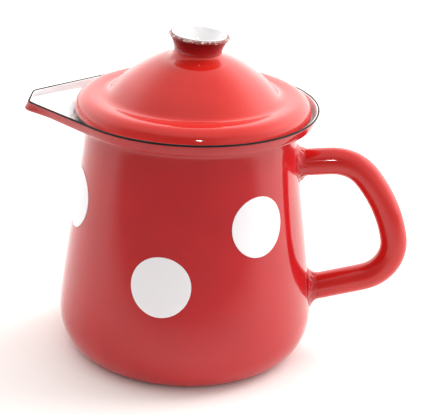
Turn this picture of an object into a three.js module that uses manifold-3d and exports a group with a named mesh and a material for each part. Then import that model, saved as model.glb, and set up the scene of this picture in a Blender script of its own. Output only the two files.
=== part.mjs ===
// A lidded enamelled-steel pouring pot: drawn shell with a flanged rim and a pressed spout,
// welded tube handle, domed lid with a cup knob, and round white transfers fired on the side.
// Millimetres, +Z up. The origin is the middle of the flat base; the spout points along -X.
import * as THREE from "three";
import { mergeVertices } from "three/addons/utils/BufferGeometryUtils.js";
import Module from "manifold-3d";

const wasm = await Module();
wasm.setup();

// Sheet, coats and clearances
const sheet = 1.0; // enamelled steel sheet
const coat = 0.3; // a coat of enamel that is a piece of its own
const gap = 0.3; // between pieces that touch
const lining = sheet + gap + coat; // from the outside of a wall to its lined inside

// Pot shell
const baseRadius = 37;
const bellyRadius = 46.5;
const bellyHeight = 14;
const bellyFullness = 11; // how far the side stays upright above the belly
const neckRadius = 37.3;
const neckHeight = 84.3;
const neckLean = 1.6; // how much wider the side is where it starts to straighten
const neckRun = 18.3; // height of the straightening below the neck
const flangeFillet = 3.5;
const flangeWidth = 7.7; // from the neck out to the rim
const lipHeight = 4.4; // upright lip round the flange
const lipFlare = 1.0; // how far the lip leans out
const creaseRound = 0.7;

// Spout
const spoutReach = 12.3; // beyond the rim circle
const spoutSideAngle = THREE.MathUtils.degToRad(45); // where its straight sides leave the rim
const spoutRise = 1.0; // of its floor towards the tip
const throatDrop = 5.0; // how far the neck is opened down into it
const throatReach = 9.0; // how far out the opened neck runs
const throatAngle = THREE.MathUtils.degToRad(50);

// Rim edging, a bead of black enamel
const edgingHeight = 0.7;
const edgingProud = 0.15;

// Handle, a bent tube, with corners given out from the neck and down from it
const tubeRadius = 5.0;
const tubeWall = 1.0;
const handleCorners = [
  { out: -8, down: 13.5, bend: 0 },
  { out: 21.5, down: 10.4, bend: 15.4 },
  { out: 34.7, down: 27.4, bend: 53 },
  { out: 41.0, down: 52.5, bend: 13.9 },
  { out: -8, down: 66.0, bend: 0 },
];
const weldReach = 3.2; // how far the weld climbs along the tube
const weldSpread = 2.4; // how far it spreads on the wall

// Transfers, in turn round the pot from the handle, high and low by turns
const dotRadius = 10.6;
const dotHigh = 59.3;
const dotLow = 40.0;
const dotTurns = [-51.4, -99.6, -162.6, -217, -265, -316].map(THREE.MathUtils.degToRad);

// Lid
const lidClearance = 3.2; // inside the rim
const lidEdgeOutline = [
  // in from the lid's edge, height above its seat
  [0, 1.6],
  [0.9, 3.8],
  [2.5, 5.3],
  [4.8, 5.9],
  [7.2, 5.6],
  [9.6, 6.6],
];
const domeOutline = [
  // share of the way on to the crown, height above the seat
  [0.18, 9.4],
  [0.41, 12.8],
  [0.68, 16.5],
  [0.88, 18.9],
  [1, 19.8],
];
const crownHeight = 19.9;
const collarDepth = 4.5; // below the seat
const collarClearance = 0.8;
const collarSheet = 0.8;
const collarFoot = 2.2;

// Knob
const knobFootRadius = 8.3;
const knobWaistRadius = 8.5;
const knobWaistHeight = 1.8;
const knobRimRadius = 10.7;
const knobHeight = 7.2;
const knobFillet = 3.0; // spread of the weld and the enamel pooled round its foot
const knobFilletHeight = 1.5;
const crownInset = 1.0; // how far the flat crown stops short of the fillet's edge

// Fineness
const baseSteps = 3;
const sideSteps = 4;
const filletSteps = 3;
const ringSteps = 48;
const lidSteps = 40;
const knobSteps = 28;
const dotSteps = 20;

// What follows from the sizes above
const ledgeHeight = neckHeight + flangeFillet;
const rimHeight = ledgeHeight + lipHeight;
const rimRadius = neckRadius + flangeWidth;
const seatHeight = ledgeHeight + lining + gap;
const lidRadius = rimRadius - lidClearance;
const knobHole = Math.max(knobFootRadius, knobWaistRadius) + gap;
const crownRadius = knobHole + knobFillet - crownInset;
const spoutTip = rimRadius + spoutReach;
const spoutCorner = Math.atan(
  (rimRadius / spoutTip - Math.cos(spoutSideAngle)) / Math.sin(spoutSideAngle),
);

const red = { color: 0xc5282c, roughness: 0.16, metalness: 0 };
const brightRed = { color: 0xdd3c34, roughness: 0.14, metalness: 0 };
const white = { color: 0xf4f2ee, roughness: 0.2, metalness: 0 };
const black = { color: 0x241c1a, roughness: 0.3, metalness: 0 };

// A polyline moved sideways in its own plane, to the left of its direction.
function offsetLine(points, distance) {
  return points.map((point, i) => {
    const before = points[Math.max(i - 1, 0)];
    const after = points[Math.min(i + 1, points.length - 1)];
    const inward = point.clone().sub(before).normalize();
    const outward = after.clone().sub(point).normalize();
    const along = inward.clone().add(outward).normalize();
    const turn = Math.max(along.dot(i ? inward : outward), 0.6);
    return new THREE.Vector2(-along.y, along.x).multiplyScalar(distance / turn).add(point);
  });
}

// Angles round the pot from the spout, with one on each corner of the spout's tip.
function ringAngles() {
  const half = ringSteps / 2;
  const step = (Math.PI - spoutCorner) / (half - 1);
  const side = Array.from({ length: half }, (_, i) => spoutCorner + i * step);
  return [0, ...side, ...side.slice(0, -1).reverse().map((angle) => -angle)];
}

function evenAngles(count) {
  return Array.from({ length: count }, (_, i) => (i / count) * 2 * Math.PI);
}

// A closed surface through columns of points, each column the section at one angle. Columns
// that start and end on the axis are joined there; other columns close on themselves.
function wrapped(columns, onAxis) {
  const rows = columns[0].length;
  const index = [];
  for (let i = 0; i < columns.length; i++) {
    const here = i * rows;
    const next = ((i + 1) % columns.length) * rows;
    for (let j = 0; j < (onAxis ? rows - 1 : rows); j++) {
      const up = (j + 1) % rows;
      if (!(onAxis && j === 0)) index.push(here + j, next + j, next + up);
      if (!(onAxis && up === rows - 1)) index.push(here + j, next + up, here + up);
    }
  }
  const geometry = new THREE.BufferGeometry();
  geometry.setAttribute("position", new THREE.Float32BufferAttribute(columns.flat(2), 3));
  geometry.setIndex(index);
  return mergeVertices(geometry, 1e-4);
}

// A solid round Z whose section, a list of (radius, height) points, may change with the angle
function roundSolid(angles, sectionAt) {
  const columns = angles.map((angle) =>
    sectionAt(angle).map(({ x, y }) => [-x * Math.cos(angle), -x * Math.sin(angle), y]),
  );
  return wrapped(columns, sectionAt(angles[0])[0].x === 0);
}

// Booleans
function solidOf(geometry) {
  const bare = geometry.clone();
  bare.deleteAttribute("normal");
  bare.deleteAttribute("uv");
  const merged = mergeVertices(bare, 1e-4);
  return new wasm.Manifold(
    new wasm.Mesh({
      numProp: 3,
      vertProperties: merged.attributes.position.array,
      triVerts: new Uint32Array(merged.index.array),
    }),
  );
}

function cutBy(geometry, cutter) {
  const { vertProperties, triVerts } = solidOf(geometry).subtract(solidOf(cutter)).getMesh();
  const result = new THREE.BufferGeometry();
  result.setAttribute("position", new THREE.BufferAttribute(vertProperties, 3));
  result.setIndex(new THREE.BufferAttribute(triVerts, 1));
  return result;
}

function piece(name, geometry, look) {
  const material = new THREE.MeshStandardMaterial(look);
  const mesh = new THREE.Mesh(geometry, material);
  geometry.computeVertexNormals();
  mesh.name = name;
  return mesh;
}

// Distance out to the rim at an angle from the spout: a circle joined to the spout's
// straight tip by lines tangent to it. An inset moves the whole outline inwards.
function rimOutline(angle, inset) {
  const turn = Math.abs(angle);
  if (turn >= spoutSideAngle) return rimRadius - inset;
  const side = (rimRadius - inset) / Math.cos(turn - spoutSideAngle);
  const tip = (spoutTip - inset) / Math.cos(turn);
  return Math.min(side, tip);
}

// 1 in the middle of the spout, 0 beyond its throat
function spoutShare(angle) {
  const turn = Math.abs(angle);
  return turn < throatAngle ? Math.cos((turn / throatAngle) * (Math.PI / 2)) ** 2 : 0;
}

// The side of the pot from the base up to the neck
function baseCurve() {
  const x = bellyRadius - baseRadius;
  return new THREE.EllipseCurve(baseRadius, bellyHeight, x, bellyHeight, -Math.PI / 2, 0);
}

function sideCurve() {
  return new THREE.CubicBezierCurve(
    new THREE.Vector2(bellyRadius, bellyHeight),
    new THREE.Vector2(bellyRadius, bellyHeight + bellyFullness),
    new THREE.Vector2(neckRadius + neckLean, neckHeight - neckRun),
    new THREE.Vector2(neckRadius, neckHeight),
  );
}

// Points up the side, from the edge of the base to a share of the way along the side curve
function sidePoints(end) {
  const side = sideCurve();
  const upper = Array.from({ length: sideSteps }, (_, i) => side.getPoint((end * (i + 1)) / sideSteps));
  return [...baseCurve().getPoints(baseSteps), ...upper];
}

// Outside of the shell at an angle from the spout, from the axis out to the top of the lip
function shellOutline(angle) {
  const share = spoutShare(angle);
  const crease = rimOutline(angle, lipFlare);
  const floor = ledgeHeight + spoutRise * share;
  let end = 1;
  while (sideCurve().getPoint(end).y > neckHeight - throatDrop * share) end -= 0.001;
  const side = sidePoints(end);
  const { x: neck, y: start } = side[side.length - 1];
  const reach = THREE.MathUtils.lerp(flangeFillet, throatReach, share);
  const rise = ledgeHeight - start;
  const fillet = new THREE.EllipseCurve(neck + reach, start, reach, rise, Math.PI, Math.PI / 2, true);
  return [
    new THREE.Vector2(0, 0),
    ...side,
    ...fillet.getPoints(filletSteps).slice(1),
    new THREE.Vector2(crease - creaseRound, floor),
    new THREE.Vector2(crease, floor + creaseRound),
    new THREE.Vector2(rimOutline(angle, 0), rimHeight),
  ];
}

// The same outline further into the wall, kept on the axis and under the top of the lip
function wallOutline(angle, depth) {
  const line = offsetLine(shellOutline(angle), depth);
  line[0].x = 0;
  line[0].y = depth;
  line[line.length - 1].y = rimHeight;
  return line;
}

function potLayer(outerDepth, innerDepth) {
  return roundSolid(ringAngles(), (angle) => [
    ...wallOutline(angle, outerDepth),
    ...wallOutline(angle, innerDepth).reverse(),
  ]);
}

function rimEdging() {
  const bottom = rimHeight + gap;
  const middle = lining / 2;
  return roundSolid(ringAngles(), (angle) => [
    new THREE.Vector2(rimOutline(angle, -edgingProud), bottom),
    new THREE.Vector2(rimOutline(angle, -edgingProud), bottom + edgingHeight / 2),
    new THREE.Vector2(rimOutline(angle, middle), bottom + edgingHeight),
    new THREE.Vector2(rimOutline(angle, lining + edgingProud), bottom + edgingHeight / 2),
    new THREE.Vector2(rimOutline(angle, lining + edgingProud), bottom),
  ]);
}

// Radius of the outside of the pot at a height below the neck
function sideRadius(height) {
  const line = sidePoints(1);
  const above = line.findIndex((point) => point.y >= height);
  const [low, high] = [line[Math.max(above - 1, 0)], line[above]];
  return THREE.MathUtils.mapLinear(height, low.y, high.y, low.x, high.x);
}

// The solid that the handle and its welds are trimmed to: the pot, filled and a gap bigger
function trimSolid() {
  const line = offsetLine(shellOutline(Math.PI), -gap);
  line[0].x = 0;
  line.push(new THREE.Vector2(0, rimHeight));
  return roundSolid(evenAngles(2 * ringSteps), () => line);
}

// Handle
const handlePoints = handleCorners.map(
  ({ out, down }) => new THREE.Vector3(neckRadius + out, 0, neckHeight - down),
);

function handlePath() {
  const path = new THREE.CurvePath();
  let from = handlePoints[0];
  for (let i = 1; i < handlePoints.length - 1; i++) {
    const corner = handlePoints[i];
    const back = handlePoints[i - 1].clone().sub(corner).normalize();
    const ahead = handlePoints[i + 1].clone().sub(corner).normalize();
    const turn = Math.PI - back.angleTo(ahead);
    const { bend } = handleCorners[i];
    const cut = bend * Math.tan(turn / 2);
    const pull = cut - (4 / 3) * Math.tan(turn / 4) * bend;
    const start = corner.clone().addScaledVector(back, cut);
    const end = corner.clone().addScaledVector(ahead, cut);
    path.add(new THREE.LineCurve3(from, start));
    path.add(
      new THREE.CubicBezierCurve3(
        start,
        corner.clone().addScaledVector(back, pull),
        corner.clone().addScaledVector(ahead, pull),
        end,
      ),
    );
    from = end;
  }
  path.add(new THREE.LineCurve3(from, handlePoints[handlePoints.length - 1]));
  return path;
}

function handleTube() {
  const section = new THREE.Shape().absarc(0, 0, tubeRadius, 0, 2 * Math.PI);
  section.holes.push(new THREE.Path().absarc(0, 0, tubeRadius - tubeWall, 0, 2 * Math.PI, true));
  const settings = { steps: 36, curveSegments: 6, extrudePath: handlePath() };
  return cutBy(new THREE.ExtrudeGeometry(section, settings), trimSolid());
}

// The flared bead of weld and enamel round a tube end, from the corner the tube comes from
function handleWeld(corner, root) {
  const along = root.clone().sub(corner).normalize();
  const atWall = corner.clone();
  while (atWall.x > sideRadius(atWall.z)) atWall.addScaledVector(along, 0.05);
  const hole = tubeRadius + gap;
  const flare = new THREE.QuadraticBezierCurve(
    new THREE.Vector2(hole + 0.4, weldReach),
    new THREE.Vector2(hole + 0.4, 0.5),
    new THREE.Vector2(hole + weldSpread, 0),
  );
  const section = [
    new THREE.Vector2(hole, -tubeRadius),
    new THREE.Vector2(hole + weldSpread, -tubeRadius),
    ...flare.getPoints(3).reverse(),
    new THREE.Vector2(hole, weldReach),
  ];
  const bead = roundSolid(evenAngles(20), () => section);
  const upright = new THREE.Quaternion().setFromUnitVectors(new THREE.Vector3(0, 0, -1), along);
  bead.applyQuaternion(upright);
  bead.translate(...atWall);
  return cutBy(bead, trimSolid());
}

// A round transfer that follows the side of the pot
function transfer(turn, height) {
  const pointAt = (share, angle, lift) => {
    const up = height + dotRadius * share * Math.sin(angle);
    const lean = Math.atan(sideRadius(up - 1) / 2 - sideRadius(up + 1) / 2);
    const radius = sideRadius(up) + lift * Math.cos(lean);
    const round = turn + (dotRadius * share * Math.cos(angle)) / sideRadius(up);
    return [radius * Math.cos(round), radius * Math.sin(round), up + lift * Math.sin(lean)];
  };
  const back = [0, 0.5, 1].map((share) => [share, gap]);
  const front = [1, 0.5, 0].map((share) => [share, gap + coat]);
  const columns = evenAngles(dotSteps).map((angle) =>
    [...back, ...front].map(([share, lift]) => pointAt(share, angle, lift)),
  );
  return wrapped(columns, true);
}

// Lid outside, from the edge's foot up to the crown, then the same line further into the sheet
function lidLine(depth) {
  const edge = lidEdgeOutline.map(([inset, height]) => [lidRadius - inset, height]);
  const domeFoot = edge[edge.length - 1][0];
  const dome = domeOutline.map(([way, height]) => [
    THREE.MathUtils.lerp(domeFoot, crownRadius, way),
    height,
  ]);
  const spline = new THREE.SplineCurve(
    [...edge, ...dome].map(([radius, height]) => new THREE.Vector2(radius, seatHeight + height)),
  );
  const outside = [
    new THREE.Vector2(lidRadius, seatHeight),
    ...spline.getPoints(11),
    new THREE.Vector2(0, seatHeight + crownHeight),
  ];
  const line = offsetLine(outside, depth);
  line[0].y = seatHeight;
  line[line.length - 1].x = 0;
  line[line.length - 1].y = seatHeight + crownHeight - depth;
  return line;
}

function lidLayer(outerDepth, innerDepth) {
  const section = [...lidLine(innerDepth).reverse(), ...lidLine(outerDepth)];
  return roundSolid(evenAngles(lidSteps), () => section);
}

// Height of the lid at a radius, on its outside or further into the sheet
function lidHeight(radius, depth) {
  const line = lidLine(depth);
  const above = line.findIndex((point) => point.x <= radius);
  const [low, high] = [line[above - 1], line[above]];
  return THREE.MathUtils.mapLinear(radius, low.x, high.x, low.y, high.y);
}

// Ring under the lid that drops into the neck, with a foot turned in against the lid
function lidCollar() {
  const outside = neckRadius - lining - collarClearance;
  const foot = outside - collarFoot;
  const top = Math.min(lidHeight(outside, lining), lidHeight(foot, lining)) - gap;
  const bottom = seatHeight - collarDepth;
  const section = [
    new THREE.Vector2(outside - collarSheet, bottom),
    new THREE.Vector2(outside, bottom),
    new THREE.Vector2(outside, top - collarSheet / 2),
    new THREE.Vector2(outside - collarSheet / 2, top),
    new THREE.Vector2(foot, top),
    new THREE.Vector2(foot, top - collarSheet),
    new THREE.Vector2(outside - collarSheet, top - collarSheet),
  ];
  return roundSolid(evenAngles(lidSteps), () => section);
}

// Knob, a pressed cup with a waist and a flared rim
const knobBase = seatHeight + crownHeight + gap;

function knobLine(depth) {
  const flare = new THREE.QuadraticBezierCurve(
    new THREE.Vector2(knobWaistRadius, knobBase + knobWaistHeight),
    new THREE.Vector2(knobWaistRadius, knobBase + knobHeight / 2),
    new THREE.Vector2(knobRimRadius, knobBase + knobHeight),
  );
  const outside = [
    new THREE.Vector2(0, knobBase),
    new THREE.Vector2(knobFootRadius, knobBase),
    ...flare.getPoints(4),
  ];
  const line = offsetLine(outside, depth);
  line[0].x = 0;
  line[line.length - 1].y = knobBase + knobHeight;
  return line;
}

function knobLayer(outerDepth, innerDepth) {
  const section = [...knobLine(outerDepth), ...knobLine(innerDepth).reverse()];
  return roundSolid(evenAngles(knobSteps), () => section);
}

function knobEdging() {
  const bottom = knobBase + knobHeight + gap;
  const inner = knobRimRadius - lining - edgingProud;
  const outer = knobRimRadius + edgingProud;
  const section = [
    new THREE.Vector2(inner, bottom),
    new THREE.Vector2(outer, bottom),
    new THREE.Vector2(outer, bottom + edgingHeight / 2),
    new THREE.Vector2((inner + outer) / 2, bottom + edgingHeight),
    new THREE.Vector2(inner, bottom + edgingHeight / 2),
  ];
  return roundSolid(evenAngles(knobSteps), () => section);
}

function knobWeld() {
  const edge = knobHole + knobFillet;
  const section = [
    new THREE.Vector2(knobHole, knobBase),
    new THREE.Vector2(crownRadius, knobBase),
    new THREE.Vector2(edge, lidHeight(edge, 0) + gap),
    new THREE.Vector2(knobHole + knobFillet / 3, knobBase + knobFilletHeight / 3),
    new THREE.Vector2(knobHole, knobBase + knobFilletHeight),
  ];
  return roundSolid(evenAngles(knobSteps), () => section);
}

const pot = new THREE.Group();
pot.add(
  piece("pot_shell", potLayer(0, sheet), red),
  piece("pot_lining", potLayer(sheet + gap, lining), white),
  piece("rim_edging", rimEdging(), black),
  piece("handle_tube", handleTube(), red),
  piece("handle_upper_weld", handleWeld(handlePoints[1], handlePoints[0]), red),
  piece("handle_lower_weld", handleWeld(handlePoints[3], handlePoints[4]), red),
);
dotTurns.forEach((turn, i) =>
  pot.add(piece(`dot_${i + 1}`, transfer(turn, i % 2 ? dotLow : dotHigh), white)),
);

const lid = new THREE.Group();
lid.add(
  piece("lid_shell", lidLayer(0, sheet), brightRed),
  piece("lid_lining", lidLayer(sheet + gap, lining), white),
  piece("lid_collar", lidCollar(), white),
  piece("knob_cup", knobLayer(0, sheet), brightRed),
  piece("knob_lining", knobLayer(sheet + gap, lining), white),
  piece("knob_edging", knobEdging(), black),
  piece("knob_weld", knobWeld(), brightRed),
);

const liddedPot = new THREE.Group();
liddedPot.add(pot, lid);

export default liddedPot;
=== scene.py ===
import bpy
import bmesh
from math import acos, atan, atan2, cos, hypot, pi, radians, sin, sqrt, tan
from mathutils import Matrix, Vector, noise


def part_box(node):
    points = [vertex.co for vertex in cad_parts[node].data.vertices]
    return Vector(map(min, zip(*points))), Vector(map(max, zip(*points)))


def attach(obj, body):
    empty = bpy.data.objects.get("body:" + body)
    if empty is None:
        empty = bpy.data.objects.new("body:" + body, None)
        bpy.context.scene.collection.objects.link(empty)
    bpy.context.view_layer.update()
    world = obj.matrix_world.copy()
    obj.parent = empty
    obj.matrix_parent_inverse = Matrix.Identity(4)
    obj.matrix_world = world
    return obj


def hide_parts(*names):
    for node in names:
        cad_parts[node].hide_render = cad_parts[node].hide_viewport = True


# A small red enamelled pouring pot with white transfers, a domed lid and a tube handle.
# Outlines are in millimetres, as (radius, height); meshes and materials are in metres.

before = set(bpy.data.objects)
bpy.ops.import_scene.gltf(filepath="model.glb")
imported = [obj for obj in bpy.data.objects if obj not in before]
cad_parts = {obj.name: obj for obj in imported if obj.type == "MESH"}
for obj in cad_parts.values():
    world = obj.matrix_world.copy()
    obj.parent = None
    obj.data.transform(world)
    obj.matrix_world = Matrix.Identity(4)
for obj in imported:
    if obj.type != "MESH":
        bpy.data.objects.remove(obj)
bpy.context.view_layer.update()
mm = 0.001

shellLow, shellHigh = [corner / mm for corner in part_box("pot_shell")]
lidLow, lidHigh = [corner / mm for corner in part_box("lid_shell")]
collarLow, collarHigh = [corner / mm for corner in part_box("lid_collar")]
knobLow, knobHigh = [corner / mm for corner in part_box("knob_cup")]
coatGap = 0.02  # keeps a coat clear of the steel's own surface


# helpers

def lerp(a, b, share):
    return a + (b - a) * share


def smooth(share):
    share = min(max(share, 0), 1)
    return share * share * (3 - 2 * share)


def curve(a, b, c, share):
    rest = 1 - share
    return a * rest ** 2 + b * 2 * share * rest + c * share ** 2


def bezier(a, b, c, d, share):
    rest = 1 - share
    return a * rest ** 3 + b * 3 * rest ** 2 * share + c * 3 * rest * share ** 2 + d * share ** 3


def linearColour(hexValue):
    channels = [int(hexValue[i:i + 2], 16) / 255 for i in (1, 3, 5)]
    return (*[c / 12.92 if c <= 0.04045 else ((c + 0.055) / 1.055) ** 2.4 for c in channels], 1)


def ringAngles(count):
    return [k / count * 2 * pi for k in range(count)]


def around(angle, line):
    # stands an outline up at an angle round the axis, counted from the spout
    return [(-x * cos(angle), -x * sin(angle), z) for x, z in line]


def offsetLine(line, distance):
    # moves a polyline sideways, to the left of its direction
    moved = []
    for i, (x, y) in enumerate(line):
        before = line[max(i - 1, 0)]
        after = line[min(i + 1, len(line) - 1)]
        inward = Vector((x - before[0], y - before[1])).normalized() if i else None
        outward = Vector((after[0] - x, after[1] - y)).normalized() if i < len(line) - 1 else None
        inward = inward or outward
        outward = outward or inward
        along = (inward + outward).normalized()
        turn = max(along.dot(inward), 0.6)
        moved.append((x - along.y * distance / turn, y + along.x * distance / turn))
    return moved


def splineLine(points, steps):
    # an even curve through all the points
    line = []
    last = len(points) - 1
    for i in range(steps + 1):
        at = last * i / steps
        k = min(int(at), last - 1)
        share = at - k
        p = [Vector(points[min(max(k + d, 0), last)]) for d in (-1, 0, 1, 2)]
        a = (p[2] - p[0]) * 0.5
        b = (p[3] - p[1]) * 0.5
        line.append(tuple(
            p[1] * (2 * share ** 3 - 3 * share ** 2 + 1) + a * (share ** 3 - 2 * share ** 2 + share)
            + p[2] * (-2 * share ** 3 + 3 * share ** 2) + b * (share ** 3 - share ** 2)
        ))
    return line


def bmeshPiece(name, mesh, levels):
    bmesh.ops.recalc_face_normals(mesh, faces=mesh.faces)
    data = bpy.data.meshes.new(name)
    mesh.to_mesh(data)
    mesh.free()
    data.shade_smooth()
    piece = bpy.data.objects.new(name, data)
    bpy.context.scene.collection.objects.link(piece)
    if levels:
        finer = piece.modifiers.new("smoothing", "SUBSURF")
        finer.levels = finer.render_levels = levels
    return piece


def makePiece(name, columns, onAxis, levels=2):
    # A closed cage through columns of points, smoothed by subdivision. Columns that start and
    # end on the axis share those two points; other columns close on themselves.
    mesh = bmesh.new()
    rows = len(columns[0])
    ends = []
    if onAxis:
        ends = [mesh.verts.new(Vector(columns[0][k]) * mm) for k in (0, -1)]
    grid = []
    for column in columns:
        inner = column[1:-1] if onAxis else column
        ring = [mesh.verts.new(Vector(point) * mm) for point in inner]
        grid.append([*ends[:1], *ring, *ends[1:]])
    for i, here in enumerate(grid):
        there = grid[(i + 1) % len(grid)]
        for j in range(rows - 1 if onAxis else rows):
            up = (j + 1) % rows
            corners = []
            for vert in (here[j], there[j], there[up], here[up]):
                if vert not in corners:
                    corners.append(vert)
            mesh.faces.new(corners)
    return bmeshPiece(name, mesh, levels)


def aside(piece, distance):
    piece.data.transform(Matrix.Translation(Vector((distance * mm, 0, 0))))
    return piece


def place(piece, body, nodes, material):
    piece.data.materials.append(material)
    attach(piece, body)
    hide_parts(*nodes)


# materials

glassIor = 1.52


def addNode(tree, kind, settings=None, **links):
    # settings go to attributes, or to sockets by name or number; links name the sockets they
    # feed, with _ for a space and _0, _1 and so on for numbers
    node = tree.nodes.new(kind)
    for name, value in (settings or {}).items():
        if isinstance(name, int) or name[0].isupper():
            node.inputs[name].default_value = value
        else:
            setattr(node, name, value)
    for name, source in links.items():
        number = name[1:]
        socket = node.inputs[int(number) if number.isdigit() else name.replace("_", " ")]
        tree.links.new(source, socket)
    return node


def clouds(tree, where, size, detail):
    settings = {"Scale": 1 / size, "Detail": detail}
    return addNode(tree, "ShaderNodeTexNoise", settings, Vector=where).outputs["Fac"]


def remap(tree, value, low, high, toLow=0.0, toHigh=1.0):
    settings = {"From Min": low, "From Max": high, "To Min": toLow, "To Max": toHigh}
    return addNode(tree, "ShaderNodeMapRange", settings, Value=value).outputs[0]


def mixColours(tree, share, low, high):
    # low and high are hex colours or the outputs of other nodes
    node = addNode(tree, "ShaderNodeMix", {"data_type": "RGBA"}, _0=share)
    for number, colour in ((6, low), (7, high)):
        if isinstance(colour, str):
            node.inputs[number].default_value = linearColour(colour)
        else:
            tree.links.new(colour, node.inputs[number])
    return node.outputs[2]


def relief(tree, height, strength, distance, **onto):
    settings = {"Strength": strength, "Distance": distance}
    return addNode(tree, "ShaderNodeBump", settings, Height=height, **onto).outputs[0]


def newMaterial(name):
    material = bpy.data.materials.new(name)
    material.use_nodes = True
    tree = material.node_tree
    shader = tree.nodes["Principled BSDF"]
    where = addNode(tree, "ShaderNodeTexCoord").outputs["Object"]
    return material, tree, shader, where


redLook = {
    "thin": "#b3161c",
    "thick": "#bb181e",
    "mottle": 0.018,
    "speckle": 0.0012,
    "speckleShare": 0.3,
    "mottleFrom": 0.45,
    "mottleTo": 0.85,
    "gloss": (0.06, 0.11),
    "peel": 0.0028,
    "peelHeight": 0.000006,
    "wave": 0.016,
    "waveHeight": 0.00009,
    "pinhole": 0.004,
    "pinholeSize": 0.05,  # share of the spacing
    "pinholeStrength": 0.3,
    "pinholeDepth": 0.00003,
}


def firedEnamel(name, look):
    # Vitreous enamel, sprayed as slip and fired on steel: a thin glass coat. It gives a clear
    # mirror gloss with faint orange peel, soft mottling where the slip lay thicker, and pinholes.
    material, tree, shader, where = newMaterial(name)
    thick = clouds(tree, where, look["mottle"], 3.0)
    fine = clouds(tree, where, look["speckle"], 2.0)
    weighing = {"operation": "MULTIPLY_ADD", 1: look["speckleShare"]}
    both = addNode(tree, "ShaderNodeMath", weighing, _0=fine, _2=thick).outputs[0]
    spread = remap(tree, both, look["mottleFrom"], look["mottleTo"])
    tree.links.new(mixColours(tree, spread, look["thin"], look["thick"]), shader.inputs["Base Color"])
    tree.links.new(remap(tree, thick, 0.0, 1.0, *look["gloss"]), shader.inputs["Roughness"])
    wave = relief(tree, clouds(tree, where, look["wave"], 1.0), 1.0, look["waveHeight"])
    peel = relief(tree, clouds(tree, where, look["peel"], 1.0), 1.0, look["peelHeight"], Normal=wave)
    pins = addNode(tree, "ShaderNodeTexVoronoi", {"Scale": 1 / look["pinhole"]}, Vector=where)
    pit = remap(tree, pins.outputs["Distance"], 0.0, look["pinholeSize"])
    pitted = relief(tree, pit, look["pinholeStrength"], look["pinholeDepth"], Normal=peel)
    tree.links.new(pitted, shader.inputs["Normal"])
    shader.inputs["IOR"].default_value = glassIor
    return material


transferLook = {
    "dull": "#efedf1",
    "bright": "#f7f5f8",
    "grain": 0.0007,
    "grainStrength": 0.5,
    "grainHeight": 0.00001,
    "roughness": 0.22,
}


def printedTransfer(name, look):
    # Ceramic transfer, screen-printed white glass fired on the red coat. It reads as a flat,
    # slightly cool white with a softer gloss than the enamel under it and a fine printed grain.
    material, tree, shader, where = newMaterial(name)
    grain = clouds(tree, where, look["grain"], 2.0)
    tree.links.new(mixColours(tree, grain, look["dull"], look["bright"]), shader.inputs["Base Color"])
    printed = relief(tree, grain, look["grainStrength"], look["grainHeight"])
    tree.links.new(printed, shader.inputs["Normal"])
    shader.inputs["Roughness"].default_value = look["roughness"]
    shader.inputs["IOR"].default_value = glassIor
    return material


edgingLook = {
    "black": "#050404",
    "brown": "#1c1210",
    "streak": 0.006,
    "streakFrom": 0.4,
    "streakTo": 0.75,
    "roughness": 0.6,
    "specular": 0.25,
}


def brushedEdging(name, look):
    # Black enamel wiped along the rim by hand. It gives a thin, dull brown-black line that breaks
    # to a warmer brown where it is thin.
    material, tree, shader, where = newMaterial(name)
    spread = remap(tree, clouds(tree, where, look["streak"], 4.0), look["streakFrom"], look["streakTo"])
    tree.links.new(mixColours(tree, spread, look["black"], look["brown"]), shader.inputs["Base Color"])
    shader.inputs["Roughness"].default_value = look["roughness"]
    shader.inputs["Specular IOR Level"].default_value = look["specular"]
    shader.inputs["IOR"].default_value = glassIor
    return material


wornLook = {
    "ground": "#2a1515",
    "red": "#8e3c36",
    "white": "#e6d2ca",
    "fleck": 0.0006,
    "fleckFrom": 0.2,
    "fleckTo": 0.35,
    "patch": 0.0009,
    "patchFrom": 0.52,
    "patchTo": 0.62,
    "roughStrength": 0.6,
    "roughHeight": 0.0001,
    "roughness": 0.35,
}


def wornEdging(name, look):
    # Enamel that ran thin over the sharp edge of the knob. It shows as ragged flecks of dark
    # ground coat, red and white.
    material, tree, shader, where = newMaterial(name)
    flecks = addNode(tree, "ShaderNodeTexVoronoi", {"Scale": 1 / look["fleck"]}, Vector=where)
    patches = clouds(tree, where, look["patch"], 3.0)
    redOrWhite = remap(tree, patches, look["patchFrom"], look["patchTo"])
    coat = mixColours(tree, redOrWhite, look["red"], look["white"])
    speck = remap(tree, flecks.outputs["Distance"], look["fleckFrom"], look["fleckTo"])
    tree.links.new(mixColours(tree, speck, look["ground"], coat), shader.inputs["Base Color"])
    ragged = relief(tree, patches, look["roughStrength"], look["roughHeight"])
    tree.links.new(ragged, shader.inputs["Normal"])
    shader.inputs["Roughness"].default_value = look["roughness"]
    shader.inputs["IOR"].default_value = glassIor
    return material


knobLook = redLook | {
    # the cup's red is painted a little darker than the pot's, as painted shade
    "thin": "#a8161a",
    "thick": "#b61b1e",
    # painted shade: dark red for the shadow and dark reflection on the cup's flared side
    "paintedShade": "#551214",
    "fleck": 0.0006,
    "paintedShadeShare": 0.8,
    "paintedShadeFrom": 0.6,
    "paintedShadeTo": 1.15,
    "paintedShadeCover": 0.8,
    "paintedShadeAbove": knobLow.z * mm + 0.001,
}


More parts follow.
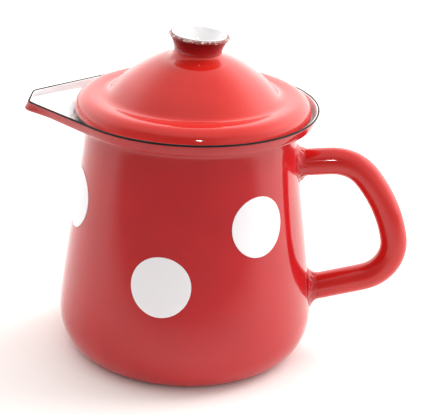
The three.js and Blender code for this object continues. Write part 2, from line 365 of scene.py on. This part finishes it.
def shadedKnobEnamel(name, look):
    # The same red enamel with painted shade: a dark red that deepens up the cup's flared side towards
    # the rim and stands in for the shadow and dark reflection there, broken up by fine dark flecks like the
    # cup's own speckle.
    material = firedEnamel(name, look)
    tree = material.node_tree
    shader = tree.nodes["Principled BSDF"]
    where = addNode(tree, "ShaderNodeTexCoord").outputs["Object"]
    height = addNode(tree, "ShaderNodeSeparateXYZ", Vector=where).outputs["Z"]
    # painted shade mask, rising up the flared side towards the rim
    paintedShade = remap(tree, height, look["paintedShadeAbove"], knobHigh.z * mm)
    weighing = {"operation": "MULTIPLY_ADD", 1: look["paintedShadeShare"]}
    flecks = clouds(tree, where, look["fleck"], 2.0)
    amount = addNode(tree, "ShaderNodeMath", weighing, _0=paintedShade, _2=flecks).outputs[0]
    cover = remap(tree, amount, look["paintedShadeFrom"], look["paintedShadeTo"], 0.0, look["paintedShadeCover"])
    red = shader.inputs["Base Color"].links[0].from_socket
    tree.links.new(mixColours(tree, cover, red, look["paintedShade"]), shader.inputs["Base Color"])
    return material


potEnamel = firedEnamel("firedRedEnamel", redLook)
lidEnamel = firedEnamel("firedRedEnamelLid", redLook | {"thin": "#c41f19", "thick": "#cc231a"})
handleEnamel = firedEnamel("firedRedEnamelHandle", redLook | {"thin": "#bd1b19", "thick": "#c9201b"})
whiteEnamel = firedEnamel("firedWhiteEnamel", redLook | {"thin": "#e9e8ea", "thick": "#f2f1f1"})
whiteSteel = firedEnamel("enamelledSteelStrip", redLook | {"thin": "#dfddda", "thick": "#efedea"})
knobEnamel = shadedKnobEnamel("redEnamelPaintedShade", knobLook)
transferGlass = printedTransfer("printedWhiteTransfer", transferLook)
rimBlack = brushedEdging("brushedBlackEnamel", edgingLook)
wornRim = wornEdging("wornKnobEdge", wornLook)
print("materials made")


# pot

pot = {
    "sheet": 0.6,
    "coat": 0.4,  # of the white lining inside
    "baseRadius": 37,
    "baseMiddle": 18,  # the flat base has rings of points here and just inside its edge
    "baseEdge": 5,
    "bellyHeight": 14,
    "bellyFullness": 11,  # how far the side stays upright above the belly
    "neckRadius": 37.3,
    "neckHeight": 84.3,
    "neckLean": 1.6,
    "neckRun": 18.3,
    "flangeFillet": 3.5,
    "rimReach": 7.7,  # of the rim, out past the neck
    "lipHeight": 4.4,
    "lipFlare": 1.0,
    "creaseRound": 1.3,
    "spoutSideAngle": 45,
    "spoutRise": 1.0,
    "throatDrop": 5.0,
    "throatReach": 9.0,
    "throatAngle": 50,
    "tipBulge": 1.3,  # the tip's front wall swells past its edge lower down
    "tipFade": 2.2,  # where the swelling ends, as a multiple of the corner's angle
    "tipRound": 1.2,
    "tipColumns": (0, 0.4, 0.75, 0.9, 1, 1.1, 1.3, 1.7),  # multiples of the corner's angle too
    "sideFrom": 2.4,
    "sideTo": 1.2,  # as a multiple of the spout's side angle
    "sideStep": 4,
    "roundColumns": 22,
    "shellEdge": (0.1, 0.32),  # in from the rim's outline
    "liningEdge": (0.36, 0.8),
    "edgingWidth": 0.7,
    "edgingHeight": 0.7,
    "edgingOverlap": 0.08,
    "edgingDrop": 0.15,  # of its middle, below the rim's top
    "edgingSides": 8,
    "edgingHeavyAt": 80,  # degrees round from the spout, towards the front, where the line is drawn widest; the extra width is partly painted shade for the lid's shadow on the rim
    "edgingWander": 0.25,
    "edgingTremble": 0.2,
}
bellySteps = 6
sideSteps = 12
filletSteps = 6
bellyRadius = shellHigh.y
rimHeight = shellHigh.z
ledgeHeight = rimHeight - pot["lipHeight"]
rimRadius = pot["neckRadius"] + pot["rimReach"]
spoutTip = -shellLow.x
spoutSide = radians(pot["spoutSideAngle"])
throatAngle = radians(pot["throatAngle"])
spoutCorner = atan((rimRadius / spoutTip - cos(spoutSide)) / sin(spoutSide))


def potAngles():
    # from the spout round, closer together at the corners of its tip
    half = [spoutCorner * share for share in pot["tipColumns"]]
    turn = spoutCorner * pot["sideFrom"]
    while turn < spoutSide * pot["sideTo"]:
        half.append(turn)
        turn += radians(pot["sideStep"])
    half += [lerp(turn, pi, i / pot["roundColumns"]) for i in range(pot["roundColumns"] + 1)]
    return half + [-turn for turn in reversed(half[1:-1])]


def rimOutline(angle, inset):
    turn = abs(angle)
    if turn >= spoutSide:
        return rimRadius - inset
    side = (rimRadius - inset) / cos(turn - spoutSide)
    tip = (spoutTip - inset) / cos(turn)
    near = max(pot["tipRound"] - abs(side - tip), 0) / pot["tipRound"]
    return min(side, tip) - near * near * pot["tipRound"] / 4


def spoutShare(angle):
    turn = abs(angle)
    return cos(turn / throatAngle * pi / 2) ** 2 if turn < throatAngle else 0


def sidePoint(share):
    a = Vector((bellyRadius, pot["bellyHeight"]))
    b = Vector((bellyRadius, pot["bellyHeight"] + pot["bellyFullness"]))
    c = Vector((pot["neckRadius"] + pot["neckLean"], pot["neckHeight"] - pot["neckRun"]))
    d = Vector((pot["neckRadius"], pot["neckHeight"]))
    return bezier(a, b, c, d, share)


def sideLine(end, steps):
    # round the belly, then up a share of the side
    line = []
    for i in range(bellySteps + 1):
        turn = i / bellySteps * pi / 2
        line.append((lerp(pot["baseRadius"], bellyRadius, sin(turn)), pot["bellyHeight"] * (1 - cos(turn))))
    return line + [tuple(sidePoint(end * (i + 1) / steps)) for i in range(steps)]


def shellOutline(angle):
    # the base, the side, the fillet under the ledge, then the crease and the upright lip
    share = spoutShare(angle)
    tip = smooth(pot["tipFade"] - abs(angle) / spoutCorner)
    flare = pot["lipFlare"] * (1 - share) - pot["tipBulge"] * tip
    edge = rimOutline(angle, 0)
    crease = rimOutline(angle, flare)
    floor = ledgeHeight + pot["spoutRise"] * share
    end = 1
    while sidePoint(end).y > pot["neckHeight"] - pot["throatDrop"] * share:
        end -= 0.001
    side = sideLine(end, sideSteps)
    neck, start = side[-1]
    reach = lerp(pot["flangeFillet"], pot["throatReach"], share)
    fillet = []
    for i in range(1, filletSteps + 1):
        turn = i / filletSteps * pi / 2
        fillet.append((neck + reach * (1 - cos(turn)), start + (ledgeHeight - start) * sin(turn)))
    bend = pot["creaseRound"]
    return [
        (0, 0),
        (pot["baseMiddle"], 0),
        (pot["baseRadius"] - pot["baseEdge"], 0),
        *side,
        *fillet,
        (crease - bend - 0.5, floor),
        (crease - bend * 0.4, floor + bend * 0.15),
        (crease, floor + bend * 0.8),
        (lerp(crease, edge, 0.6), lerp(floor, rimHeight, 0.6)),
        (edge, rimHeight - 0.3),
    ]


def layerColumns(outerDepth, innerDepth, closing):
    # closing(angle) gives the points over the top, from the outside to the inside
    columns = []
    for angle in potAngles():
        outer = offsetLine(shellOutline(angle), outerDepth)
        inner = offsetLine(shellOutline(angle), innerDepth)
        outer[0], inner[0] = (0, outerDepth), (0, innerDepth)
        columns.append(around(angle, outer + closing(angle) + inner[::-1]))
    return columns


def shellTop(angle):
    return [(rimOutline(angle, inset), rimHeight - 0.2) for inset in pot["shellEdge"]]


def liningTop(angle):
    out, within = pot["liningEdge"]
    return [(rimOutline(angle, out), rimHeight - 0.1), (rimOutline(angle, within), rimHeight - 0.15)]


potShell = makePiece("pot_body", layerColumns(0, pot["sheet"], shellTop), True)
place(potShell, "pot", ["pot_shell"], potEnamel)
liningColumns = layerColumns(pot["sheet"] + coatGap, pot["sheet"] + pot["coat"], liningTop)
potLining = makePiece("pot_white_lining", liningColumns, True)
place(potLining, "pot", ["pot_lining"], whiteEnamel)


def edgingColumns():
    columns = []
    for angle in potAngles():
        # the line is widest towards the front, partly as painted shade for the lid's shadow on the rim
        wander = 1 + pot["edgingWander"] * cos(angle - radians(pot["edgingHeavyAt"]))
        wander += pot["edgingTremble"] * noise.noise(Vector((cos(angle), sin(angle), 0)) * 6)
        width = pot["edgingWidth"] * wander
        height = pot["edgingHeight"] * wander
        out = rimOutline(angle, -pot["edgingOverlap"])
        middle = rimHeight - pot["edgingDrop"]
        line = []
        for turn in ringAngles(pot["edgingSides"]):
            line.append((out - width * (0.5 - 0.5 * cos(turn)), middle + height * 0.5 * sin(turn)))
        columns.append(around(angle, line))
    return columns


rimLine = makePiece("rim_black_line", edgingColumns(), False)
place(rimLine, "pot", ["rim_edging"], rimBlack)
print("pot made")


# handle

handle = {
    "radius": 5.0,
    "wall": 1.0,
    "corners": [  # out from the neck, down from it, bend
        (-8, 13.5, 0),
        (21.5, 10.4, 15.4),
        (34.7, 27.4, 53),
        (41.0, 52.5, 13.9),
        (-8, 66.0, 0),
    ],
    "spacing": 2.0,
    "sides": 20,
    "endGap": 0.05,  # between the tube's ends and the wall
    "weldReach": 3.0,
    "weldReachWander": 0.25,
    "weldSpread": 2.8,
    "weldSpreadWander": 0.3,
    "weldThick": 0.12,
    "weldEdge": 0.04,  # its thickness where it runs out on the tube
    "weldSunk": 0.1,  # and how far it dips into the wall at its foot
    "weldLumps": 0.3,
    "weldSides": 60,
    "weldRows": 10,
}
wallLine = sideLine(1, sideSteps * 2)
handleCorners = []
for out, down, _ in handle["corners"]:
    handleCorners.append(Vector((pot["neckRadius"] + out, 0, pot["neckHeight"] - down)))


def wallRadius(height):
    for low, high in zip(wallLine, wallLine[1:]):
        if low[1] <= height <= high[1]:
            return lerp(low[0], high[0], (height - low[1]) / (high[1] - low[1] or 1))
    return wallLine[-1][0]


def handleLine():
    # straight runs between the corners, rounded at each by its own bend
    line = [handleCorners[0]]
    for i in range(1, 4):
        corner = handleCorners[i]
        back = (handleCorners[i - 1] - corner).normalized()
        ahead = (handleCorners[i + 1] - corner).normalized()
        turn = pi - acos(max(-1, min(1, back.dot(ahead))))
        bend = handle["corners"][i][2]
        cut = bend * tan(turn / 2)
        pull = cut - 4 / 3 * tan(turn / 4) * bend
        steps = max(6, int(bend * turn / handle["spacing"]))
        for j in range(steps + 1):
            line.append(bezier(corner + back * cut, corner + back * pull,
                               corner + ahead * pull, corner + ahead * cut, j / steps))
    line.append(handleCorners[-1])
    return line


def spaced(line, spacing):
    # points at an even spacing along a polyline
    lengths = [0]
    for a, b in zip(line, line[1:]):
        lengths.append(lengths[-1] + (b - a).length)
    count = max(2, round(lengths[-1] / spacing))
    points, at = [], 0
    for i in range(count + 1):
        want = lengths[-1] * i / count
        while at < len(line) - 2 and lengths[at + 1] < want:
            at += 1
        share = (want - lengths[at]) / (lengths[at + 1] - lengths[at] or 1)
        points.append(line[at].lerp(line[at + 1], share))
    return points


def outsideWall(point):
    # a point inside the pot's wall is brought straight out along X until it clears it
    wall = wallRadius(point.z) + handle["endGap"]
    if hypot(point.x, point.y) < wall:
        return Vector((sqrt(max(wall * wall - point.y * point.y, 0)), point.y, point.z))
    return point


handlePath = [p for p in spaced(handleLine(), handle["spacing"]) if p.x > wallRadius(p.z) - 1.0]


def tubeColumns(radius):
    columns = [[] for _ in range(handle["sides"])]
    for i, point in enumerate(handlePath):
        along = (handlePath[min(i + 1, len(handlePath) - 1)] - handlePath[max(i - 1, 0)]).normalized()
        side = Vector((0, 1, 0))
        up = along.cross(side)
        for column, turn in zip(columns, ringAngles(handle["sides"])):
            column.append(outsideWall(point + (side * cos(turn) + up * sin(turn)) * radius))
    return columns


outside = tubeColumns(handle["radius"])
inside = tubeColumns(handle["radius"] - handle["wall"])
handleTube = makePiece("handle_tube_bent", [a + b[::-1] for a, b in zip(outside, inside)], False)
place(handleTube, "pot", ["handle_tube"], handleEnamel)


def ontoWall(point, along, lift):
    # slides a point along the handle until it lies on the pot's wall, then lifts it off again
    away = sqrt(wallRadius(point.z) ** 2 - point.y ** 2) - point.x
    return point + along * (away / along.x - lift)


def weldColumns(corner, root, seed):
    # down a lumpy hollow curve from the tube to the wall, then back under it into the tube
    along = (root - corner).normalized()
    foot = ontoWall(corner, along, 0)
    side = Vector((0, 1, 0))
    up = along.cross(side)
    hidden = handle["radius"] - 0.5
    columns = []
    for turn in ringAngles(handle["weldSides"]):
        out = side * cos(turn) + up * sin(turn)
        longer = handle["weldReachWander"] * noise.noise(out * 1.7 + Vector((0, seed, 0)))
        wider = handle["weldSpreadWander"] * noise.noise(out * 2.1 + Vector((0, 0, seed)))
        reach = handle["weldReach"] * (1 + longer)
        spread = handle["weldSpread"] * (1 + wider)
        column = []
        for i in range(handle["weldRows"] + 1):
            share = i / handle["weldRows"]
            bend = share * pi / 2
            middle = sin(share * pi)
            spot = out * 4 + along * share * 2
            lump = noise.noise(spot + Vector((seed, 0, 0)))
            lump += 0.7 * noise.noise(spot * 2.6 + Vector((0, seed, seed)))
            thick = handle["weldEdge"] + middle * (handle["weldThick"] + handle["weldLumps"] * lump)
            radius = handle["radius"] + spread * (1 - cos(bend)) + thick
            lift = reach * (1 - sin(bend)) + thick - handle["weldSunk"] * share
            column.append(ontoWall(foot + out * radius, along, lift))
        column.append(ontoWall(foot + out * (handle["radius"] + 0.6), along, -0.25))
        column.append(ontoWall(foot + out * hidden, along, 0.1))
        column.append(ontoWall(foot + out * hidden, along, reach * 0.6))
        columns.append(column)
    return columns


for name, node, corner, root, seed in (
    ("handle_weld_upper", "handle_upper_weld", handleCorners[1], handleCorners[0], 3.1),
    ("handle_weld_lower", "handle_lower_weld", handleCorners[3], handleCorners[4], 8.7),
):
    weld = makePiece(name, weldColumns(corner, root, seed), False)
    place(weld, "pot", [node], potEnamel)
print("handle made")


# transfers

transfer = {
    "thick": 0.12,
    "raggedness": 0.06,
    "raggedScale": 7,
    "backGap": 0.01,
    "edgeGap": 0.03,
    "backRings": (0, 0.3, 0.6, 0.85, 0.97),  # shares of the radius
    "frontRings": (0.985, 0.9, 0.7, 0.35, 0),
    "columns": 48,
}


def dotColumns(node, seed):
    low, high = [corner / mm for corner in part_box(node)]
    centre = (low + high) / 2
    turn = atan2(centre.y, centre.x)
    radius = (high.z - low.z) / 2

    def onWall(share, angle, lift):
        spot = Vector((cos(angle), sin(angle))) * transfer["raggedScale"]
        rough = noise.noise(Vector((*spot, seed)))
        ragged = 1 + transfer["raggedness"] / radius * rough
        up = centre.z + radius * ragged * share * sin(angle)
        wall = wallRadius(up)
        lean = atan((wallRadius(up - 1) - wallRadius(up + 1)) / 2)
        out = wall + lift * cos(lean)
        bearing = turn + radius * ragged * share * cos(angle) / wall
        return out * cos(bearing), out * sin(bearing), up + lift * sin(lean)

    back = [(share, transfer["backGap"]) for share in transfer["backRings"]]
    edge = [(1, transfer["edgeGap"]), (1, transfer["thick"] * 0.7)]
    front = [(share, transfer["thick"]) for share in transfer["frontRings"]]
    columns = []
    for angle in ringAngles(transfer["columns"]):
        columns.append([onWall(share, angle, lift) for share, lift in back + edge + front])
    return columns


for i in range(6):
    node = f"dot_{i + 1}"
    dot = makePiece(f"white_dot_{i + 1}", dotColumns(node, i * 3.7), True, 1)
    place(dot, "pot", [node], transferGlass)
print("transfers made")


# lid

lid = {
    "sheet": 1.0,
    "coat": 0.6,
    "edge": [  # in from the lid's edge, height above its seat
        (0, 1.6),
        (0.9, 3.9),
        (2.4, 5.3),
        (4.4, 6.1),
        (7.0, 6.15),
        (9.4, 6.0),
        (11.4, 6.5),
    ],
    "dome": [  # share of the way on to the crown, height above the seat
        (0.08, 7.9),
        (0.17, 9.7),
        (0.26, 11.3),
        (0.4, 13.4),
        (0.64, 16.6),
        (0.86, 18.9),
        (1, 19.8),
    ],
    "crownRadius": 10.8,
    "crownMiddle": 6,
    "seatGap": 0.05,
    "seatRound": 0.25,
    "offCentre": 0.6,  # the lid sits loose in the mouth, here a little towards the handle
    "rows": 48,
    "columns": 64,
}
lidRadius = lidHigh.x
seatHeight = lidLow.z
seatLevel = seatHeight + lid["seatGap"]


def lidOutline():
    edge = [(lidRadius - inset, height) for inset, height in lid["edge"]]
    foot = edge[-1][0]
    dome = [(lerp(foot, lid["crownRadius"], way), height) for way, height in lid["dome"]]
    line = [(x, seatHeight + z) for x, z in edge + dome]
    return [
        (lidRadius - lid["seatRound"], seatLevel),
        (lidRadius, seatHeight + 0.5),
        *splineLine(line, lid["rows"]),
        (lid["crownMiddle"], lidHigh.z - 0.02),
        (0, lidHigh.z),
    ]


def lidColumns(outerDepth, innerDepth):
    outer = offsetLine(lidOutline(), outerDepth)
    inner = offsetLine(lidOutline(), innerDepth)
    outer[0] = (outer[0][0], max(outer[0][1], seatLevel))
    inner[0] = (inner[0][0], max(inner[0][1], seatLevel))
    outer[-1] = (0, lidHigh.z - outerDepth)
    inner[-1] = (0, lidHigh.z - innerDepth)
    return [around(turn, outer[::-1] + inner) for turn in ringAngles(lid["columns"])]


lidShell = makePiece("lid_dome", lidColumns(0, lid["sheet"]), True)
place(aside(lidShell, lid["offCentre"]), "lid", ["lid_shell"], lidEnamel)
liningColumns = lidColumns(lid["sheet"] + coatGap, lid["sheet"] + lid["coat"])
lidLining = makePiece("lid_white_lining", liningColumns, True)
place(aside(lidLining, lid["offCentre"]), "lid", ["lid_lining"], whiteEnamel)

collar = {
    "sheet": 0.8,
    "flange": 2.2,  # how far its top turns in under the lid
    "cutEdge": 0.4,
}
collarOut, collarBottom, collarTop = collarHigh.x, collarLow.z, collarHigh.z
collarIn = collarOut - collar["sheet"]
collarMiddle = lerp(collarBottom, collarTop, 0.5)
collarSection = [
    (collarOut - 0.7, collarBottom),
    (collarOut - 0.1, collarBottom),
    (collarOut, collarBottom + collar["cutEdge"]),
    (collarOut, collarMiddle),
    (collarOut, collarTop - 0.7),
    (collarOut - 0.4, collarTop - 0.1),
    (collarOut - 1.2, collarTop),
    (collarOut - collar["flange"], collarTop),
    (collarOut - collar["flange"], collarTop - collar["sheet"]),
    (collarOut - 1.2, collarTop - collar["sheet"]),
    (collarIn, collarTop - 1.3),
    (collarIn, collarMiddle),
    (collarIn, collarBottom + collar["cutEdge"]),
]
collarColumns = [around(turn, collarSection) for turn in ringAngles(lid["columns"])]
lidCollar = makePiece("lid_collar_strip", collarColumns, False)
place(aside(lidCollar, lid["offCentre"]), "lid", ["lid_collar"], whiteSteel)
print("lid made")


# knob

knob = {
    "footRadius": 8.3,
    "waistRadius": 8.5,
    "waistHeight": 1.8,
    "flareHeight": 3.6,  # where the side starts to open out
    "rimRadius": 10.7,
    "sheet": 1.0,
    "coat": 0.6,
    "columns": 40,
    "tilt": 3.5,  # degrees, the cup was welded on a little askew
    "offCentre": 0.7,  # and a little towards the handle
    "edgeWidth": 0.6,
    "edgeHeight": 0.55,
    "edgeProud": 0.06,
    "edgeRagged": 0.08,
    "edgeDrop": 0.15,
    "edgeSides": 8,
    "edgeColumns": 96,
    "fillet": 3.0,
    "filletHeight": 2.4,
    "filletHollow": 2.2,
    "filletColumns": 48,
}
knobBase = knobLow.z
knobTop = knobHigh.z


def knobOutline():
    foot, waist = knob["footRadius"], knob["waistRadius"]
    line = [(0, knobBase), (5, knobBase), (foot - 0.8, knobBase), (foot, knobBase + 0.4)]
    low = knobBase + knob["waistHeight"]
    for i in range(9):
        share = i / 8
        x = curve(waist, waist, knob["rimRadius"], share)
        line.append((x, curve(low, knobBase + knob["flareHeight"], knobTop, share)))
    return line


def knobColumns(outerDepth, innerDepth):
    outer = offsetLine(knobOutline(), outerDepth)
    inner = offsetLine(knobOutline(), innerDepth)
    outer[0], inner[0] = (0, knobBase + outerDepth), (0, knobBase + innerDepth)
    return [around(turn, outer + inner[::-1]) for turn in ringAngles(knob["columns"])]


def tilted(piece):
    # turned about the middle of the foot, left side up
    pivot = Matrix.Translation(Vector((0, 0, knobBase * mm)))
    piece.data.transform(pivot @ Matrix.Rotation(radians(knob["tilt"]), 4, "Y") @ pivot.inverted())
    return aside(piece, knob["offCentre"] + lid["offCentre"])


knobCup = makePiece("knob_pressed_cup", knobColumns(0, knob["sheet"]), True)
place(tilted(knobCup), "lid", ["knob_cup"], knobEnamel)
liningColumns = knobColumns(knob["sheet"] + coatGap, knob["sheet"] + knob["coat"])
knobLining = makePiece("knob_white_lining", liningColumns, True)
place(tilted(knobLining), "lid", ["knob_lining"], whiteEnamel)


def knobEdgeColumns():
    columns = []
    width = knob["edgeWidth"]
    for turn in ringAngles(knob["edgeColumns"]):
        rough = noise.noise(Vector((cos(turn) * 12, sin(turn) * 12, 0.5)))
        out = knob["rimRadius"] + knob["edgeProud"] + knob["edgeRagged"] * rough
        height = knob["edgeHeight"] + 0.1 * rough
        line = []
        for at in ringAngles(knob["edgeSides"]):
            line.append((out - width + width * cos(at), knobTop - knob["edgeDrop"] + height * sin(at)))
        columns.append(around(turn, line))
    return columns


knobEdge = makePiece("knob_worn_edge", knobEdgeColumns(), False, 1)
place(tilted(knobEdge), "lid", ["knob_edging"], wornRim)


def lidTopAt(radius):
    line = lidOutline()
    for a, b in zip(line, line[1:]):
        if b[0] <= radius <= a[0]:
            return lerp(a[1], b[1], (a[0] - radius) / (a[0] - b[0] or 1))
    return lidHigh.z


def onLid(out, radius, lift):
    # a point on the lid, in a direction and at a distance from the knob's own axis
    at = Vector((knob["offCentre"], 0)) + out * radius
    return at.x, at.y, lidTopAt(at.length) + lift


def filletColumns():
    # from under the cup, out along the lid, and up the curve of the weld to the cup's waist
    foot, waist = knob["footRadius"], knob["waistRadius"]
    columns = []
    for turn in ringAngles(knob["filletColumns"]):
        out = Vector((cos(turn), sin(turn)))
        rough = 1 + 0.06 * noise.noise(Vector((out.x * 3, out.y * 3, 1.7)))
        spread = (foot + knob["fillet"]) * rough
        top = knobBase + knob["filletHeight"] - sin(radians(knob["tilt"])) * waist * cos(turn)
        line = [onLid(out, foot - 1.0, -0.15), onLid(out, spread + 0.4, -0.1)]
        for i in range(9):
            share = i / 8
            bend = (1 - share) ** knob["filletHollow"]
            x, y, low = onLid(out, lerp(waist - 0.25, spread, bend), 0.02)
            line.append((x, y, lerp(low, top, share ** 1.5)))
        x, y, _ = onLid(out, waist - 0.9, 0)
        line.append((x, y, top - 0.3))
        columns.append(line)
    return columns


knobFoot = makePiece("knob_weld_fillet", filletColumns(), False)
place(aside(knobFoot, lid["offCentre"]), "lid", ["knob_weld"], lidEnamel)
print("knob made")


# floor, light and camera

studio = {
    "floorSize": 6,
    "paperLow": "#f8f6f3",
    "paperHigh": "#fbf9f7",
    "paperGrain": 0.0025,
    "paperPaintedShade": "#a19d9b",
    "paperPaintedShadeFrom": -0.07,  # painted shade: the paper's colour darkens towards the camera's side, standing in for it running out of the light
    "paperPaintedShadeTo": -0.2,
    "paperRoughness": 0.7,
    "aim": (0, 0, 0.06),
    "lampPlace": (0.9, 0.5, 1.1),  # a large diffused lamp high up, behind and to the right
    "lampSize": (0.9, 0.9),
    "lampPower": 16,
    "flashPlace": (48, 20, 40),  # from the camera
    "flashSize": (0.03, 0.02),
    "flashPower": 0.25,
    "tent": "#fffdfb",
    "front": 0.25,  # brightness of the tent towards each side
    "back": 1.8,
    "right": 0.8,
    "left": 0.15,
    "zenith": 1.0,
    "backSwell": (-0.5, 0.5),  # where each side's brightness starts and ends along its axis
    "rightSwell": (0.0, 0.9),
    "leftSwell": (0.0, -0.9),
    "zenithSwell": (0.55, 0.95),
}

floorMesh = bmesh.new()
bmesh.ops.create_grid(floorMesh, x_segments=4, y_segments=4, size=0.5)
bmesh.ops.scale(floorMesh, vec=(studio["floorSize"], studio["floorSize"], 1), verts=floorMesh.verts)
floor = bmeshPiece("floor", floorMesh, 0)

# Matt coated paper. It reads as a plain pale sheet with hardly any grain, its colour darkened towards the
# camera as painted shade.
paper, paperTree, paperShader, paperWhere = newMaterial("palePaper")
paperGrain = clouds(paperTree, paperWhere, studio["paperGrain"], 2.0)
paperTint = mixColours(paperTree, paperGrain, studio["paperLow"], studio["paperHigh"])
paperSides = addNode(paperTree, "ShaderNodeSeparateXYZ", Vector=paperWhere)
# painted shade: the paper's colour darkens towards the camera
paperLit = remap(paperTree, paperSides.outputs["Y"], studio["paperPaintedShadeTo"], studio["paperPaintedShadeFrom"])
paperShade = mixColours(paperTree, paperLit, studio["paperPaintedShade"], paperTint)
paperTree.links.new(paperShade, paperShader.inputs["Base Color"])
paperShader.inputs["Roughness"].default_value = studio["paperRoughness"]
floor.data.materials.append(paper)


def softbox(name, spot, size, power):
    light = bpy.data.lights.new(name, "AREA")
    light.shape = "RECTANGLE"
    light.size, light.size_y = size
    light.energy = power
    lamp = bpy.data.objects.new(name, light)
    lamp.location = spot
    lamp.rotation_euler = (Vector(studio["aim"]) - Vector(spot)).to_track_quat("-Z", "Y").to_euler()
    bpy.context.scene.collection.objects.link(lamp)
    return lamp


lampBox = softbox("diffusedLamp", studio["lampPlace"], studio["lampSize"], studio["lampPower"])
lampBox.visible_glossy = False

# the camera stands in front, a little above, and looks down at the pot
view = {"place": (16.5, -473.4, 246.9), "turn": -0.9, "down": 22.27, "roll": 2.41, "lens": 118.8}
turn, down, roll = [radians(view[k]) for k in ("turn", "down", "roll")]
ahead = Vector((sin(turn) * cos(down), cos(turn) * cos(down), -sin(down)))
level = Vector((cos(turn), -sin(turn), 0))
above = level.cross(ahead)
across = level * cos(roll) + above * sin(roll)
upward = above * cos(roll) - level * sin(roll)
camera = bpy.data.objects.new("camera", bpy.data.cameras.new("camera"))
camera.data.lens = view["lens"]
camera.data.clip_start, camera.data.clip_end = 0.01, 50
basis = Matrix((across, upward, -ahead)).transposed().to_4x4()
camera.matrix_world = Matrix.Translation(Vector(view["place"]) * mm) @ basis
bpy.context.scene.collection.objects.link(camera)
bpy.context.scene.camera = camera

flashSpot = [(a + b) * mm for a, b in zip(view["place"], studio["flashPlace"])]
softbox("cameraFlash", flashSpot, studio["flashSize"], studio["flashPower"])


def towards(tree, part, swell, amount):
    # a soft swell of brightness towards one side
    settings = {"From Min": swell[0], "From Max": swell[1], "To Max": amount,
                "interpolation_type": "SMOOTHSTEP"}
    return addNode(tree, "ShaderNodeMapRange", settings, Value=part).outputs[0]


# white tent: brightest behind the pot, dimmer overhead and towards the camera
world = bpy.data.worlds.new("tent")
bpy.context.scene.world = world
world.use_nodes = True
sky = world.node_tree
sky.nodes["Background"].inputs["Color"].default_value = linearColour(studio["tent"])
direction = addNode(sky, "ShaderNodeTexCoord").outputs["Generated"]
parts = addNode(sky, "ShaderNodeSeparateXYZ", Vector=direction).outputs
glow = towards(sky, parts["Y"], studio["backSwell"], studio["back"])
for name in ("right", "left"):
    side = towards(sky, parts["X"], studio[name + "Swell"], studio[name])
    glow = addNode(sky, "ShaderNodeMath", {"operation": "ADD"}, _0=glow, _1=side).outputs[0]
glow = addNode(sky, "ShaderNodeMath", {"operation": "ADD", 1: studio["front"]}, _0=glow).outputs[0]
climb = towards(sky, parts["Z"], studio["zenithSwell"], 1.0)
strength = addNode(sky, "ShaderNodeMix", {"data_type": "FLOAT", 3: studio["zenith"]}, _0=climb, _2=glow)
sky.links.new(strength.outputs[0], sky.nodes["Background"].inputs["Strength"])
bpy.context.scene.view_settings.view_transform = "Standard"
print("studio made")
